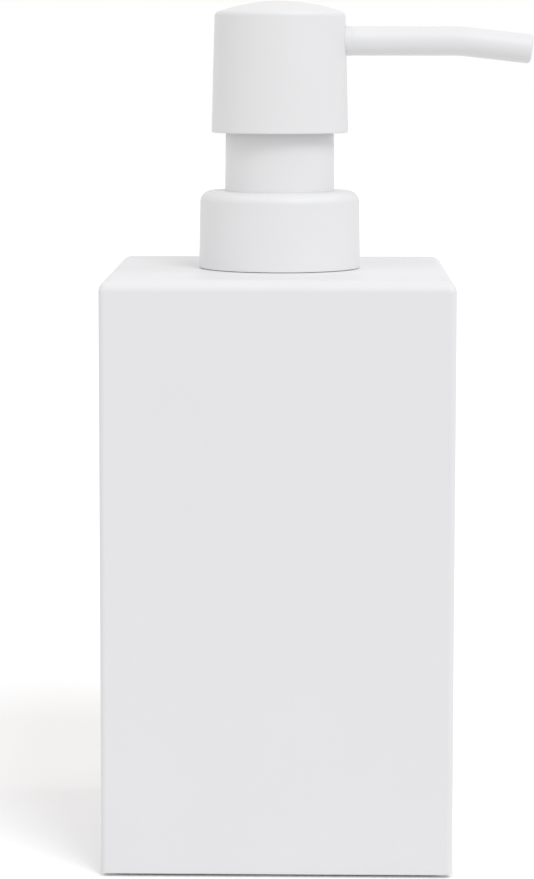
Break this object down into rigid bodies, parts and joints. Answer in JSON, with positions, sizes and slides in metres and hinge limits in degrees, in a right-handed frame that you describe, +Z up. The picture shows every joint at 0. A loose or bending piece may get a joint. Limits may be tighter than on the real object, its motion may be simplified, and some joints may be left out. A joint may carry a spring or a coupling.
{
  "type": "soap pump dispenser",
  "caption": "Square white countertop soap bottle with a sleeved press pump: a domed cup head with a long, slightly drooping tube spout over a stepped screw collar.",
  "frame": {"origin": "centre of the foot pad's underside, on the surface that the dispenser stands on, under the pump's axis", "axes": "+Z up along the pump's axis, +X towards the spout's mouth, +Y to the left when looking along the spout towards its mouth, which completes a right-handed frame"},
  "size_m": [0.0893, 0.072, 0.179],
  "materials": {
    "bottle_lacquer": "satin white lacquer over cast resin",
    "pump_white": "smooth moulded white plastic, soft gloss",
    "plate_resin": "sawn and glued cast resin, matte",
    "insert_plastic": "moulded white plastic, matte",
    "natural_plastic": "natural milky polypropylene",
    "tube_plastic": "natural milky polyethylene tube",
    "seal_plastic": "soft polyethylene seal",
    "gasket_rubber": "soft pale gasket",
    "pad_rubber": "thin dark grey rubber sheet, matte",
    "spring_steel": "bright drawn stainless wire",
    "ball_steel": "polished stainless ball"
  },
  "bodies": {
    "bottle": {"bottle_body": "bottle_lacquer", "neck_insert": "insert_plastic", "base_plate": "plate_resin", "base_pad": "pad_rubber"},
    "pump_base": {"cylinder_housing": "natural_plastic", "chaplet": "insert_plastic", "housing_gasket": "gasket_rubber", "dip_tube": "tube_plastic", "neck_sleeve": "pump_white", "ball_cage": "natural_plastic", "return_spring": "spring_steel"},
    "closure": {"closure_cap": "insert_plastic", "collar_shell": "pump_white"},
    "piston": {"piston_seal": "seal_plastic"},
    "head": {"stem": "natural_plastic", "stem_poppet": "natural_plastic", "head_insert": "insert_plastic", "head_shell": "pump_white", "spout_tube": "pump_white", "spout_ring": "pump_white"},
    "ball": {"inlet_ball": "ball_steel"}
  },
  "joints": [
    {"name": "closure_lift", "type": "slide", "parent": "bottle", "child": "pump_base", "axis": [0, 0, 1], "range_m": [0, 0.0047]},
    {"name": "closure_turn", "type": "hinge", "parent": "pump_base", "child": "closure", "pos_m": [0, 0, 0.1345], "axis": [0, 0, 1], "range_deg": [0, 401]},
    {"name": "pump_stroke", "type": "slide", "parent": "pump_base", "child": "piston", "axis": [0, 0, -1], "range_m": [0, 0.012], "stiffness_N_per_m": 600, "springref_m": -0.01, "deforming": ["return_spring"]},
    {"name": "head_swivel", "type": "hinge", "parent": "piston", "child": "head", "pos_m": [0, 0, 0.17], "axis": [0, 0, 1], "continuous": true},
    {"name": "ball_lift", "type": "slide", "parent": "pump_base", "child": "ball", "axis": [0, 0, 1], "range_m": [0, 0.0014]}
  ],
  "couplings": [
    {"joint": "closure_turn", "follows": "closure_lift", "rad_per_m": 1485.4}
  ]
}
